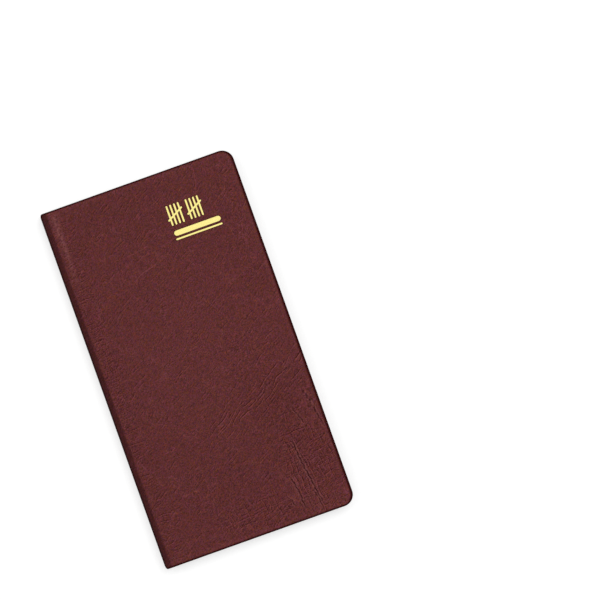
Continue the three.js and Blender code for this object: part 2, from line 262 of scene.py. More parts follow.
class Nodes:
    """Short words for making the nodes of a material or of the world."""

    def __init__(self, owner, output="OutputMaterial"):
        owner.use_nodes = True
        self.owner = owner
        self.tree = owner.node_tree
        self.tree.nodes.clear()
        self.output = self.node(output)

    def put(self, socket, value):
        if isinstance(value, bpy.types.NodeSocket):
            self.tree.links.new(value, socket)
        else:
            socket.default_value = value

    def node(self, kind, inputs=None, **settings):
        made = self.tree.nodes.new("ShaderNode" + kind)
        for key, value in settings.items():
            setattr(made, key, value)
        for key, value in (inputs or {}).items():
            self.put(made.inputs[key], value)
        return made

    def read(self, name, output="Fac"):
        """A number that the mesh holds at each vertex, or with the output "Vector" a place."""
        return self.node("Attribute", attribute_name=name).outputs[output]

    def object_place(self):
        """Places in the piece's own frame, in millimetres."""
        return self.vector("MULTIPLY", self.node("TexCoord").outputs["Object"], (1 / MM,) * 3)

    def math(self, operation, *values, clamp=False):
        inputs = dict(enumerate(values))
        return self.node("Math", inputs, operation=operation, use_clamp=clamp).outputs[0]

    def vector(self, operation, *values):
        return self.node("VectorMath", dict(enumerate(values)), operation=operation).outputs[0]

    def parts(self, vector):
        return self.node("SeparateXYZ", {0: vector}).outputs

    def add(self, total, *others):
        for other in others:
            total = self.math("ADD", total, other)
        return total

    def times(self, total, *others):
        for other in others:
            total = self.math("MULTIPLY", total, other)
        return total

    def minus(self, value, other):
        return self.math("SUBTRACT", value, other)

    def ramp(self, value, low, high, to_low=0.0, to_high=1.0):
        """Smooth change from to_low at low to to_high at high."""
        return self.node(
            "MapRange",
            {"Value": value, "From Min": low, "From Max": high, "To Min": to_low, "To Max": to_high},
            interpolation_type="SMOOTHSTEP",
        ).outputs["Result"]

    def band(self, value, middle, full, end, much=1.0):
        """As much as given up to the distance full from the middle, and 0 past the distance end."""
        away = self.math("ABSOLUTE", self.minus(value, middle))
        return self.ramp(away, full, end, much, 0.0)

    def varied(self, base, fac, amount):
        """The base, raised and lowered as fac lies above and below a half."""
        return self.add(base, self.times(self.minus(fac, 0.5), amount))

    def noise(self, vector, scale, detail=2.0, roughness=0.5, distortion=0.0):
        return self.node("TexNoise", {
            "Vector": vector, "Scale": scale, "Detail": detail, "Roughness": roughness,
            "Distortion": distortion,
        }).outputs["Fac"]

    def warp(self, vector, scale, reach):
        """The same places, pushed about by up to half the reach."""
        made = self.node("TexNoise", {"Vector": vector, "Scale": scale, "Detail": 2.0})
        push = self.vector("SUBTRACT", made.outputs["Color"], (0.5, 0.5, 0.5))
        return self.vector("MULTIPLY_ADD", push, (reach,) * 3, vector)

    def stretched(self, vector, heading, along, across):
        """Places turned by a heading, with so many units in a millimetre along and across it."""
        angle = math.radians(heading)
        made = self.node("VectorRotate", {"Vector": vector, "Angle": angle}, rotation_type="Z_AXIS")
        return self.vector("MULTIPLY", made.outputs[0], (along, across, 1.0))

    def cells(self, vector, scale):
        """How far each place is from the middle of its cell, with soft borders."""
        inputs = {"Vector": vector, "Scale": scale}
        return self.node("TexVoronoi", inputs, feature="SMOOTH_F1").outputs["Distance"]

    def pebbles(self, vector, heading, along, across):
        """How far each place is from the middle of its cell, and three numbers of the cell's own."""
        made = self.node("TexVoronoi", {
            "Vector": self.stretched(vector, heading, along, across), "Scale": 1.0, "Randomness": 0.9,
        })
        return made.outputs["Distance"], made.outputs["Color"]

    def lines(self, vector, scale, width, randomness=1.0):
        """Thin lines of a net: 1 on a line and 0 away from it."""
        inputs = {"Vector": vector, "Scale": scale, "Randomness": randomness}
        away = self.node("TexVoronoi", inputs, feature="DISTANCE_TO_EDGE").outputs["Distance"]
        return self.ramp(away, 0.0, width, 1.0, 0.0)

    def streaks(self, vector, heading, along, across):
        """Streaks about 0: their heading, and how many lie in a millimetre along and across it."""
        return self.minus(self.noise(self.stretched(vector, heading, along, across), 1.0, 0.0), 0.5)

    def folds(self, vector, heading, spacing, reach, width=0.3):
        """Thin folds: a painted highlight on a fold, painted shade beside it, and 0 elsewhere.

        They lie side by side at the spacing, and come and go over about the reach.
        """
        along, across, _ = self.parts(self.stretched(vector, heading, 1 / reach, 1 / spacing))
        number = self.math("FLOOR", across)
        own = self.node("TexWhiteNoise", {"W": number}, noise_dimensions="1D").outputs["Value"]
        middle = self.add(self.times(own, 0.5), 0.25)
        away = self.times(self.minus(self.math("FRACT", across), middle), spacing)
        painted_highlight = self.band(away, 0.0, 0.0, width)
        painted_shade = self.band(away, 1.3 * width, 0.0, width, 0.9)
        place = self.node("CombineXYZ", {0: along, 1: self.times(number, 9.7)}).outputs[0]
        return self.times(self.minus(painted_highlight, painted_shade), self.ramp(self.noise(place, 1.0, 0.0), 0.46, 0.58))

    def scratch(self, vector, start, end):
        """A thin line that fades in from its start and out at its end: 1 on it, 0 away from it."""
        length = math.dist(start, end)
        fade = min(SCRATCH_FADE, length / 3)
        heading = math.degrees(math.atan2(end[1] - start[1], end[0] - start[0]))
        moved = self.vector("SUBTRACT", vector, (*start, 0))
        along, across, _ = self.parts(self.stretched(moved, -heading, 1, 1))
        fade_in = self.ramp(along, 0.0, fade)
        fade_out = self.ramp(along, length - fade, length, 1.0, 0.0)
        line = self.band(across, 0.0, 0.0, SCRATCH_WIDTH)
        return self.times(line, self.times(fade_in, fade_out))

    def mix(self, share, a, b):
        """A colour between a and b. The numbers are the node's sockets for colours."""
        return self.node("Mix", {0: share, 6: a, 7: b}, data_type="RGBA").outputs[2]

    def speckle(self, tint, own, amounts):
        """A colour, each of its parts varied by its own amount."""
        share = self.vector("MULTIPLY_ADD", own, amounts, tuple(1 - a / 2 for a in amounts))
        return self.vector("MULTIPLY", tint, share)

    def bump(self, height, distance, strength, under=None):
        made = self.node("Bump", {"Strength": strength, "Distance": distance * MM, "Height": height})
        if under is not None:
            self.put(made.inputs["Normal"], under)
        return made.outputs["Normal"]

    def show(self, shader):
        """The material or the world, with this shader on it."""
        self.put(self.output.inputs["Surface"], shader.outputs[0])
        return self.owner

    def surface(self, inputs):
        return self.show(self.node("BsdfPrincipled", inputs))


def colour(red, green, blue):
    """A screen colour of 0 to 255 as linear light."""
    def linear(value):
        value /= 255
        return value / 12.92 if value <= 0.04045 else ((value + 0.055) / 1.055) ** 2.4
    return (linear(red), linear(green), linear(blue), 1.0)


def skin_wrinkles(n, flat, wavy, across, flex):
    """Short folds in painted highlight and shade: slanting over the cover, square to the spine beside
    it, crossed where it flexed.
    """
    somewhere = n.ramp(n.noise(flat, 0.16, 1.0), 0.42, 0.6, 0.0, 0.55)
    slanting = n.folds(wavy, SLANT_HEADING, 1.5, 6.0)
    slanting = n.times(slanting, n.add(somewhere, n.times(n.read("drawn"), 1.3)))
    beside = n.times(n.ramp(across, TURN_END, TURN_END + 2), n.ramp(across, 8.0, 18.0, 1.0, 0.0))
    hinge = n.times(n.folds(wavy, HINGE_HEADING, 1.3, 4.0, 0.26), n.times(beside, 0.8))
    steep = n.folds(wavy, STEEP_HEADING, 1.9, 9.0, 0.27)
    level = n.folds(wavy, LEVEL_HEADING, 2.2, 7.0, 0.27)
    crossed = n.times(n.add(steep, level), n.ramp(flex, 0.1, 0.9, 0.0, 0.85))
    return n.add(slanting, n.add(hinge, crossed))


def skin_grain(n, flat, bent, flex, pebbles, own):
    """Paler and darker pebbles with streaks over them, stronger where the cover flexed."""
    slant = n.streaks(bent, GRAIN_HEADING, 1.3, 2.7)
    hatch = n.add(*(n.streaks(bent, heading, 1.1, 2.7) for heading in HATCH_HEADINGS))
    grain = n.add(
        n.times(pebbles, -0.4), n.times(n.parts(own)[0], 0.44),
        n.times(slant, n.ramp(flex, 0.2, 0.9, 0.35, 0.1)),
        n.times(hatch, n.ramp(flex, 0.1, 0.9, 0.1, 0.3)),
    )
    patches = n.noise(flat, 0.16, 2.0, 0.55, 0.5)
    swing = n.add(0.7, n.add(n.times(flex, 0.4), n.times(patches, 0.2)))
    return n.times(n.minus(grain, 0.04), swing)


def skin_marks(n, flat, across, shaded_rim, pits, tone):
    """The tone with its painted highlights, its painted crease shade and dark stamping edge, the painted
    shade on the spine's turn, and the dark rim painted as shade.
    """
    # Painted highlight on the ridge beside the spine and on the creases' lips, stronger in places
    highlight_strength = n.ramp(n.noise(n.warp(flat, 0.9, 1.2), 0.7, 2.0, 0.6), 0.4, 0.6, 0.08, 0.62)
    tone = n.mix(n.times(n.read("highlight"), highlight_strength), tone, colour(136, 82, 82))
    broken = n.ramp(n.noise(flat, 0.8), 0.36, 0.52, 0.35, 0.85)
    # Painted shade in the creases, and a dark edge round the stamping, broken up in places
    tone = n.mix(n.math("MULTIPLY", n.read("crease_shade"), broken, clamp=True), tone, colour(30, 6, 6))
    # Painted shade on the spine's turn, and a darker line of painted shade along the joint
    turn_shade_in = n.ramp(across, 0.6, 2.0, 0.2, 0.53)
    turn_shade_out = n.ramp(across, TURN_END - 0.5, TURN_END + 0.7, 0.53, 0.0)
    tone = n.mix(n.math("MINIMUM", turn_shade_in, turn_shade_out), tone, colour(30, 5, 5))
    tone = n.mix(n.band(across, 2.6, 0.5, 0.9, 0.7), tone, colour(30, 3, 2))
    # A dark rim painted as shade over the rolled edge, ragged with the pits
    ragged_shade = n.varied(shaded_rim, pits, 0.12)
    return n.mix(n.ramp(ragged_shade, 0.35, 0.9, 0.95, 0.0), tone, colour(42, 2, 1))


def skin_material():
    """Burgundy leather, with the marks that the mesh places.

    The mesh holds flat, the place on the unrolled cover; shaded_rim, the distance in from the edge,
    where a dark rim is painted as shade; flex and drawn, where it flexed and wrinkled; patchy_tone,
    its paler and darker patches; and crease_shade and highlight, its painted shade and painted
    highlights.
    """
    n = Nodes(bpy.data.materials.new("burgundy_leather_grain"))
    flat = n.read("flat", "Vector")
    across = n.math("ABSOLUTE", n.parts(flat)[0])
    flex, shaded_rim = n.read("flex"), n.read("shaded_rim")
    bent = n.warp(flat, 0.09, 4.0)
    wavy = n.warp(bent, 0.5, 0.7)
    pebbles, own = n.pebbles(bent, GRAIN_HEADING, 2.2, 3.1)
    pits = n.noise(flat, 3.0, 1.0, 0.6)
    wrinkles = skin_wrinkles(n, flat, wavy, across, flex)
    # Fine pale veins that come and go, and a net of cracks where the cover has been flexed
    veins = n.lines(n.warp(flat, 0.3, 2.4), 0.15, 0.05)
    veins = n.times(veins, n.ramp(n.noise(flat, 0.11), 0.48, 0.6))
    net = n.lines(n.warp(flat, 0.8, 0.9), 0.4, 0.08, 0.75)
    net = n.times(net, n.ramp(flex, 0.05, 0.8), n.ramp(n.noise(flat, 0.35), 0.4, 0.58))
    scratches = n.add(*(n.times(n.scratch(wavy, start, end), much) for start, end, much in SCRATCHES))
    # A painted highlight on the lip just inside the dark rim
    lip = n.times(n.ramp(shaded_rim, 0.8, 1.1), n.ramp(shaded_rim, 1.4, 2.6, 1.0, 0.0))
    share = n.varied(skin_grain(n, flat, bent, flex, pebbles, own), n.noise(flat, 0.05), 0.06)
    # Paler and darker patches, the wrinkles' painted highlight and shade, and pale veins
    share = n.add(share, n.read("patchy_tone"), n.times(wrinkles, 0.55), n.times(veins, 0.2))
    share = n.add(n.minus(share, n.times(net, 0.08)), scratches, n.times(lip, 0.06))
    share = n.math("ADD", share, 0.487, clamp=True)
    tone = n.mix(share, colour(59, 22, 21), colour(121, 64, 65))
    tone = n.speckle(tone, own, (0.3, 0.4, 1.1))
    height = n.minus(n.times(pits, 0.6), n.times(pebbles, 0.5))
    height = n.minus(n.add(height, n.times(wrinkles, 0.4)), n.times(net, 0.5))
    height = n.add(height, n.times(veins, 0.25))
    return n.surface({
        "Base Color": skin_marks(n, flat, across, shaded_rim, pits, tone),
        "Roughness": n.varied(0.6, pits, 0.25),
        "Normal": n.bump(height, 0.12, 0.6),
        "Specular IOR Level": 0.04,
    })


def liner_material():
    n = Nodes(bpy.data.materials.new("dark_liner_sheet"))
    flat = n.read("flat", "Vector")
    edge = n.read("edge")
    pores = n.noise(flat, 2.6, 3.0, 0.6)
    share = n.add(n.times(pores, 1.5), n.times(n.noise(flat, 0.06), 0.45))
    share = n.math("SUBTRACT", share, 0.5, clamp=True)
    tone = n.mix(share, colour(52, 46, 44), colour(98, 89, 86))
    tone = n.mix(n.ramp(edge, 1.5, 2.0, 0.4, 0.0), tone, colour(44, 35, 33))
    # Painted shade in the welded groove
    tone = n.mix(n.times(n.band(edge, WELD, 0.1, 0.42), 0.85), tone, colour(18, 14, 13))
    tone = n.mix(n.ramp(edge, 0.45, 1.0, 0.95, 0.0), tone, colour(10, 8, 8))
    return n.surface({
        "Base Color": tone,
        "Roughness": n.varied(0.66, pores, 0.2),
        "Normal": n.bump(n.cells(flat, 1.9), -0.04, 0.4, n.bump(pores, 0.04, 0.5)),
        "Specular IOR Level": 0.3,
    })


def board_material():
    n = Nodes(bpy.data.materials.new("grey_board"))
    place = n.object_place()
    fibre = n.noise(place, 1.5, 4.0, 0.65)
    fleck = n.ramp(n.noise(place, 2.8), 0.62, 0.7)
    tone = n.mix(fibre, colour(122, 112, 98), colour(165, 154, 136))
    tone = n.mix(n.times(fleck, 0.5), tone, colour(92, 82, 70))
    return n.surface({"Base Color": tone, "Roughness": 0.92, "Normal": n.bump(fibre, 0.08, 0.6)})


def foil_material():
    n = Nodes(bpy.data.materials.new("gold_foil"))
    place = n.object_place()
    patchy_tone = n.noise(place, 3.5, 3.0, 0.6)
    return n.surface({
        "Base Color": n.mix(n.ramp(patchy_tone, 0.3, 0.7), colour(253, 231, 132), colour(255, 248, 166)),
        "Metallic": 0.9,
        "Roughness": n.ramp(patchy_tone, 0.3, 0.75, 0.38, 0.5),
        "Normal": n.bump(n.cells(place, 1.35), -0.03, 0.35, n.bump(patchy_tone, 0.01, 0.4)),
    })


def ruled_lines(n, across, down):
    """1 on the ruling of a leaf, and 0 between its lines."""
    since = n.minus(down, RULING_TOP - RULING_PITCH / 2)
    line = n.band(n.math("MODULO", since, RULING_PITCH), RULING_PITCH / 2, LINE_FULL, LINE_END)
    from_first = n.math("GREATER_THAN", since, 0.0)
    to_last = n.math("LESS_THAN", since, RULING_LINES * RULING_PITCH)
    line = n.times(line, n.times(from_first, to_last))
    for share in RULING_SHARES:
        column = n.band(across, share * LEAF_WIDTH, LINE_FULL, LINE_END)
        line = n.math("MAXIMUM", line, column)
    off_head = n.math("GREATER_THAN", down, 0.6)
    off_tail = n.math("LESS_THAN", down, LEAF_HEIGHT - 0.15)
    return n.times(line, off_head, off_tail)


def leaf_material():
    n = Nodes(bpy.data.materials.new("ruled_paper"))
    page = n.read("page", "Vector")
    run, down, sheet = n.parts(page)
    across = n.math("ABSOLUTE", run)
    fibre = n.noise(page, 1.6, 4.0, 0.6)
    tone = n.mix(fibre, colour(249, 248, 246), colour(255, 255, 254))
    tone = n.mix(n.times(n.noise(page, 0.08), 0.4), tone, colour(250, 249, 247))
    inked = n.times(ruled_lines(n, across, down), n.add(0.55, n.times(fibre, 0.3)))
    tone = n.mix(inked, tone, colour(164, 165, 170))
    # Painted shade at the fore edge, where the outer leaves show past the inner ones
    creep_shade = n.ramp(across, LEAF_WIDTH - 2.4, LEAF_WIDTH - 1.6, 0.0, 0.5)
    tone = n.mix(creep_shade, tone, colour(218, 205, 203))
    # Painted gutter shade, with a darker line of painted shade by the fold, on the sheet of the centre
    # spread only
    centre = n.math("LESS_THAN", sheet, SHEET_STEP / 2)
    wide = n.times(n.ramp(across, 0.6, 3.5, 0.25, 0.0), centre)
    fold_shade = n.times(n.ramp(across, 0.3, 0.75, 0.75, 0.0), centre)
    tone = n.mix(wide, tone, colour(214, 206, 202))
    tone = n.mix(fold_shade, tone, colour(164, 148, 144))
    return n.surface({
        "Base Color": tone,
        "Roughness": 0.85,
        "Normal": n.bump(fibre, 0.02, 0.5),
        "Specular IOR Level": 0.2,
    })


def thread_material():
    n = Nodes(bpy.data.materials.new("sewing_thread"))
    along = n.read("along", "Vector")
    wave = {"Vector": along, "Scale": 3.0, "Distortion": 1.5, "Detail": 2.0}
    fibres = n.node("TexWave", wave, bands_direction="Y").outputs["Fac"]
    fuzz = n.noise(along, 6.0, 3.0, 0.7)
    tone = n.mix(fibres, colour(122, 102, 96), colour(182, 164, 158))
    tone = n.mix(n.times(fuzz, 0.3), tone, colour(206, 190, 184))
    return n.surface({"Base Color": tone, "Roughness": 0.8, "Normal": n.bump(fibres, 0.05, 0.7)})


skin_look = skin_material()
liner_look = liner_material()
board_look = board_material()
foil_look = foil_material()
leaf_look = leaf_material()
thread_look = thread_material()


# The cover sheet, unrolled

def turned(away):
    """x, depth and outward direction on the outer face, at distances from the middle of the spine."""
    angle = np.clip((away - SPINE_FLAT) / TURN_R, 0, math.pi / 2)
    x = SPINE_X + TURN_R * (1 - np.cos(angle)) + np.maximum(away - TURN_END, 0)
    depth = TURN_R * (1 - np.sin(angle)) + np.maximum(SPINE_FLAT - away, 0)
    return x, depth, -np.cos(angle), -np.sin(angle)


def corner_loss(radius, to_side):
    """How much a rounded corner takes off the height, at a distance from the side it meets."""
    into = np.clip(radius - to_side, 0, radius)
    return radius - np.sqrt(radius ** 2 - into ** 2)


def half_height(x):
    """Half the cover's height at each x, less where its corners are rounded."""
    return HEAD_Y - corner_loss(SPINE_CORNER, x - SPINE_X) - corner_loss(FORE_CORNER, FORE_X - x)


def edge_distance(away, y):
    """Distance in from the cover's edge: from head or tail on the spine's half, from any side beyond."""
    half = half_height(turned(away)[0])
    slope = np.gradient(half[:, :1], away[:, 0], axis=0)
    head = (half - np.abs(y)) / np.sqrt(1 + np.minimum(np.abs(slope), 1.2) ** 2)
    dx, dy = COVER_END - away, HEAD_Y - np.abs(y)
    into = np.hypot(np.maximum(FORE_CORNER - dx, 0), np.maximum(FORE_CORNER - dy, 0))
    in_corner = (dx < FORE_CORNER) & (dy < FORE_CORNER)
    fore = np.where(in_corner, FORE_CORNER - into, np.minimum(dx, dy))
    return np.maximum(np.where(away < COVER_END / 2, head, fore), 0)


def shaded_rim_distance(away, y, edge):
    """Distance from the edge as the dark rim reads it, which is widest along the fore edge. The dark rim
    is painted shade on the rolled edge.
    """
    at_fore = smooth(COVER_END - 4, COVER_END - 1.5, away)
    return edge / (1.15 + 0.1 * smooth(0, 60, -y) + 0.55 * at_fore)


def rows_on(away, levels):
    """Row heights at each column: levels of a full-height column, drawn in where the corners round."""
    drop = HEAD_Y - half_height(turned(away)[0])
    drawn = smooth(HEAD_Y - 22, HEAD_Y - 9, np.abs(levels))
    return np.sign(levels) * (np.abs(levels) - drop[:, None] * drawn)


def raised(away):
    """0 on the spine side of the board, 1 where the board lies in the cover."""
    return np.clip((turned(away)[0] - BOARD_LOW_X) / BOARD_SKIVE, 0, 1)


def near_line(px, py, points):
    """Distance of each place to a line through points, and its share along the line."""
    best = np.full(px.shape, 1e9)
    share = np.zeros(px.shape)
    for k, ((ax, ay), (bx, by)) in enumerate(zip(points, points[1:])):
        square = (bx - ax) ** 2 + (by - ay) ** 2
        t = np.clip(((px - ax) * (bx - ax) + (py - ay) * (by - ay)) / square, 0, 1)
        away = np.hypot(px - ax - t * (bx - ax), py - ay - t * (by - ay))
        share = np.where(away < best, (k + t) / (len(points) - 1), share)
        best = np.minimum(best, away)
    return best, share


def creases(px, py):
    """How deep the creases lie on the front cover, the painted shade in them, and the painted highlight
    on their lips.
    """
    # A slight wobble, so that no crease runs straight
    px, py = (px + 0.16 * np.sin(py * 1.9 + 0.4) + 0.09 * np.sin(py * 4.7 + px),
              py + 0.16 * np.sin(px * 2.3 + 1.0) + 0.09 * np.sin(px * 5.1 - py))
    depth, painted_shade, painted_highlight = (np.zeros(px.shape) for _ in range(3))
    for width, deep, points in CREASES:
        away, share = near_line(px, py, points)
        ends = np.clip(np.minimum(share, 1 - share) * 6, 0, 1) ** 0.5
        form = np.exp(-(away / width) ** 2) * ends
        swell = np.exp(-((away - 2.2 * width) / width) ** 2) * ends
        depth += deep * form - 0.25 * deep * swell
        painted_shade += form * deep / CREASE_FULL_SHADE
        painted_highlight += swell * deep / CREASE_FULL_HIGHLIGHT
    return depth, np.clip(painted_shade, 0, 1), np.clip(painted_highlight, 0, 1)


def gate_strokes(index):
    """A tally gate's uprights and the stroke across them: start, end and width of each."""
    left = GATE_LEFT + GATE_OVERHANG + index * GATE_SPACING
    right = left + (UPRIGHTS - 1) * GATE_PITCH
    top = GATE_TOP + GATE_STROKE / 2
    bottom = GATE_TOP + GATE_HEIGHT - GATE_STROKE / 2
    rise = GATE_HEIGHT / 4
    places = [left + k * GATE_PITCH for k in range(UPRIGHTS)]
    strokes = [((at, top), (at, bottom), GATE_STROKE) for at in places]
    slash = ((left - GATE_OVERHANG, bottom - rise), (right + GATE_OVERHANG, top + rise), GATE_STROKE)
    return [*strokes, slash]


def rule_stroke(top, width):
    """A rule as a list of one stroke."""
    level = top + width / 2
    return [((RULE_LEFT + width / 2, level), (RULE_LEFT + RULE_LENGTH - width / 2, level), width)]


STAMPING = {
    "foil_gate_left": gate_strokes(0),
    "foil_gate_right": gate_strokes(1),
    "foil_rule_thick": rule_stroke(RULE_TOP, THICK_RULE),
    "foil_rule_thin": rule_stroke(RULE_TOP + THICK_RULE + RULE_SPACE, THIN_RULE),
}


def off_stamping(px, py):
    """Distance from the stamping's outline, less than 0 on the stamping."""
    strokes = [stroke for group in STAMPING.values() for stroke in group]
    return np.min([near_line(px, py, (a, b))[0] - width / 2 for a, b, width in strokes], 0)


def ripple(x, y):
    """Slow unevenness of a soft cover."""
    return (0.035 * np.sin(x * 0.11 + 0.7) * np.sin(y * 0.083 + 1.1)
            + 0.025 * np.sin(x * 0.23 - y * 0.17 + 2.0)
            + 0.015 * np.sin(x * 0.41 + y * 0.31))


def ridge_share(px, py):
    """1 on the ridge beside the front cover's spine, which fades down from the head."""
    fade = smooth(0.3, 3, py) * (1 - smooth(14, 46, py))
    breadth = 1.5 - 0.6 * smooth(4, 25, py)
    return np.exp(-((px - RIDGE_AT) / breadth) ** 2) * fade


def patch(x, y, cx, cy, wide, tall, much):
    """As much as given at the patch's middle, fading away from it."""
    return much * np.exp(-((x - cx) / wide) ** 2 - ((y - cy) / tall) ** 2)


def front_wear(x, y, edge, depth):
    """The front cover's depth with its ridge, stamping and creases, and what the material reads."""
    px, py = x - SPINE_X, HEAD_Y - y
    ridge = ridge_share(px, py)
    creased, painted_shade, lip_highlight = creases(px, py)
    off = off_stamping(px, py)
    stamped = 1 - smooth(0.12, 0.42, off)
    depth = np.maximum(depth - RIDGE_HEIGHT * ridge, 0)
    depth = depth * (1 - stamped) + STAMP_DEPTH * stamped + creased * smooth(0.3, 1.2, edge)
    return depth, {
        "flex": np.maximum.reduce([patch(x, y, *area) for area in FLEXED]),
        # crease_shade: painted shade in the creases, and a dark edge round the stamping
        "crease_shade": np.maximum(painted_shade, 0.7 * (1 - smooth(0.15, 0.5, off))),
        # highlight: a painted highlight on the ridge beside the spine and on the creases' lips
        "highlight": np.maximum(ridge, lip_highlight),
        "drawn": np.exp(-(near_line(px, py, BAND)[0] / BAND_REACH) ** 2),
        "patchy_tone": sum(patch(x, y, *area) for area in TONE_PATCHES),
    }


def outer_relief(side, away, y, edge):
    """Depth of the outer face below its plain place, and what the material reads with it."""
    x = turned(away)[0]
    inward = np.clip(1 - edge / ROLL_WIDTH, 0, 1)
    roll_depth = SPINE_ROLL_DEPTH + (ROLL_DEPTH - SPINE_ROLL_DEPTH) * raised(away)
    settled = smooth(TURN_END, TURN_END + 6, away) * smooth(ROLL_WIDTH, 6.0, edge)
    groove = GROOVE_DEPTH * np.exp(-((x - SPINE_X - GROOVE_AT) / GROOVE_WIDTH) ** 2)
    depth = roll_depth * (1 - np.sqrt(1 - inward ** 2)) + settled * (SETTLE_DEPTH + ripple(x * side, y))
    depth += groove * smooth(1, 8, edge)
    if side > 0:
        depth, reads = front_wear(x, y, edge, depth)
    else:
        reads = dict.fromkeys(("flex", "crease_shade", "highlight", "drawn", "patchy_tone"), np.zeros(x.shape))
    return depth, {**reads, "shaded_rim": shaded_rim_distance(away, y, edge)}


def skin_inner(away, y, edge):
    """The skin's hidden face: down beside the board at the welded edge, up over the board."""
    welded = 1 - smooth(SEAL_FROM, SEAL_TO, edge)
    return SKIN + BOARD * raised(away) * welded, {}


def liner_glued(away, y, edge):
    """The liner's hidden face, on the board."""
    return SKIN + BOARD * raised(away), {"edge": edge}


def liner_face(away, y, edge):
    """The liner's own face, with a lip at its edge and a groove where it is welded."""
    lip = LIP_DEPTH * np.clip(1 - edge / LIP_WIDTH, 0, 1) ** 2
    groove = WELD_DEPTH * np.exp(-((edge - WELD) / WELD_WIDTH) ** 4)
    return SKIN + LINER + BOARD * raised(away) - (lip + groove), {"edge": edge}


def slab_faces(columns, rows, picks):
    """Faces of a closed slab: a grid of columns by rows, then one that has only the picked rows."""
    inner = len(picks)
    base = columns * rows
    faces = []
    for c in range(columns - 1):
        low, under = c * rows, base + c * inner
        faces += [(a, a + rows, a + rows + 1, a + 1) for a in range(low, low + rows - 1)]
        faces += [(a, a + 1, a + inner + 1, a + inner) for a in range(under, under + inner - 1)]
        high, over = low + rows - 1, under + inner - 1
        faces.append((low, under, under + inner, low + rows))
        faces.append((high, high + rows, over + inner, over))
    for c, turn in ((0, 1), (columns - 1, -1)):
        low, under = c * rows, base + c * inner
        for k in range(inner - 1):
            shown = range(low + picks[k], low + picks[k + 1] + 1)
            faces.append((*shown, under + k + 1, under + k)[::turn])
    return faces


def cover_face(side, columns, rows, depths):
    """A face of half the cover: vertices, their places unrolled, and what the material reads."""
    away = np.repeat(columns[:, None], len(rows), 1)
    y = rows_on(columns, rows)
    depth, reads = depths(away, y, edge_distance(away, y))
    x, base, nx, nz = turned(away)
    z = base - nz * depth
    if side > 0:
        z = THICK - z
    vertices = np.stack([x - nx * depth, y, z], -1).reshape(-1, 3)
    return vertices, np.stack([side * away, y, depth], -1).reshape(-1, 3), reads


def cover_sheet(name, side, columns, levels, outer, inner, inner_levels, material, flip):
    """A closed sheet of half the cover, from the middle of the spine to the fore edge.

    outer and inner give depths at (away, y, edge). The outer face has every row, the inner face
    only the rows nearest to inner_levels, and the end walls join the two.
    """
    picks = sorted({int(np.argmin(np.abs(levels - v))) for v in inner_levels})
    shown, shown_flat, shown_reads = cover_face(side, columns, levels, outer)
    hidden, hidden_flat, hidden_reads = cover_face(side, columns, levels[picks], inner)
    faces = slab_faces(len(columns), len(levels), picks)
    if flip:
        faces = [face[::-1] for face in faces]
    attributes = {"flat": np.concatenate([shown_flat, hidden_flat])}
    for key, values in shown_reads.items():
        others = hidden_reads.get(key, np.zeros(len(hidden)))
        attributes[key] = np.concatenate([values.ravel(), others.ravel()])
    return make_piece(name, np.concatenate([shown, hidden]), faces, material, attributes)


def columns_of(steps, *spans):
    """Columns of half the cover: the flat spine, its turn, the hinge, the spans and the fore edge."""
    spans += (
        (0, SPINE_FLAT, SPINE_STEP), (SPINE_FLAT, TURN_END, (TURN_END - SPINE_FLAT) / TURN_STEPS),
        (TURN_END, HINGE_END, HINGE_STEP),
    )
    return np.unique(np.round(np.concatenate([COVER_END - np.array(steps), spaced(*spans)]), 4))


def both_ends(steps, *spans):
    """Levels up the cover: the steps in from head and tail, and the spans between."""
    tops = HEAD_Y - np.array(steps)
    return np.unique(np.round(np.concatenate([tops, -tops, spaced(*spans)]), 4))


front_columns = columns_of(
    EDGE_STEPS, (HINGE_END, STAMP_FROM, COARSE), (STAMP_FROM, STAMP_TO, STAMP_STEP),
    (STAMP_TO, FORE_FROM, CREASE_STEP),
)
front_levels = both_ends(
    EDGE_STEPS, (-EDGE_LEVEL, 0, CREASE_STEP), (0, STAMP_LOW, COARSE),
    (STAMP_LOW, STAMP_HIGH, STAMP_STEP), (STAMP_HIGH, EDGE_LEVEL, COARSE),
)
plain_columns = columns_of(EDGE_STEPS, (HINGE_END, FORE_FROM, COARSE))
plain_levels = both_ends(EDGE_STEPS, (-EDGE_LEVEL, EDGE_LEVEL, COARSE))
liner_columns = columns_of(FINE_STEPS, (HINGE_END, FORE_FROM, COARSE))
liner_levels = both_ends(FINE_STEPS, (-EDGE_LEVEL, EDGE_LEVEL, COARSE))
skin_inner_levels = both_ends((0.0, 1.1, 2.0, EDGE_STEPS[-1]))
liner_inner_levels = both_ends((0.0, FINE_STEPS[-2]), (-1, 1, 2))


def skin_half(name, side, columns, levels):
    def outer(away, y, edge):
        return outer_relief(side, away, y, edge)
    return cover_sheet(
        name, side, columns, levels, outer, skin_inner, skin_inner_levels, skin_look, flip=side > 0,
    )


def liner_half(name, side):
    return cover_sheet(
        name, side, liner_columns, liner_levels, liner_face, liner_glued, liner_inner_levels,
        liner_look, flip=side < 0,
    )


turn_low, turn_up = (SPINE_X + TURN_R) * MM, SPINE_X * MM
back_fold = ("back_cover", "spine", (turn_low, 0, 0), (turn_up, 0, TURN_R * MM))
front_fold = ("spine", "front_cover", (turn_up, 0, (THICK - TURN_R) * MM), (turn_low, 0, THICK * MM))

skin_back = skin_half("cover_skin_back", -1, plain_columns, plain_levels)
skin_front = skin_half("cover_skin_front", 1, front_columns, front_levels)
liner_back = liner_half("cover_liner_back", -1)
liner_front = liner_half("cover_liner_front", 1)

for piece, nodes, slot, fold in (
    (skin_back, ("back_skin", "spine_skin"), "skin", back_fold),
    (liner_back, ("back_liner", "spine_liner"), "liner", back_fold),
    (skin_front, ("front_skin",), "skin", front_fold),
    (liner_front, ("front_liner",), "liner", front_fold),
):
    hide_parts(*nodes)
    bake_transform(piece)


# Gold stamping

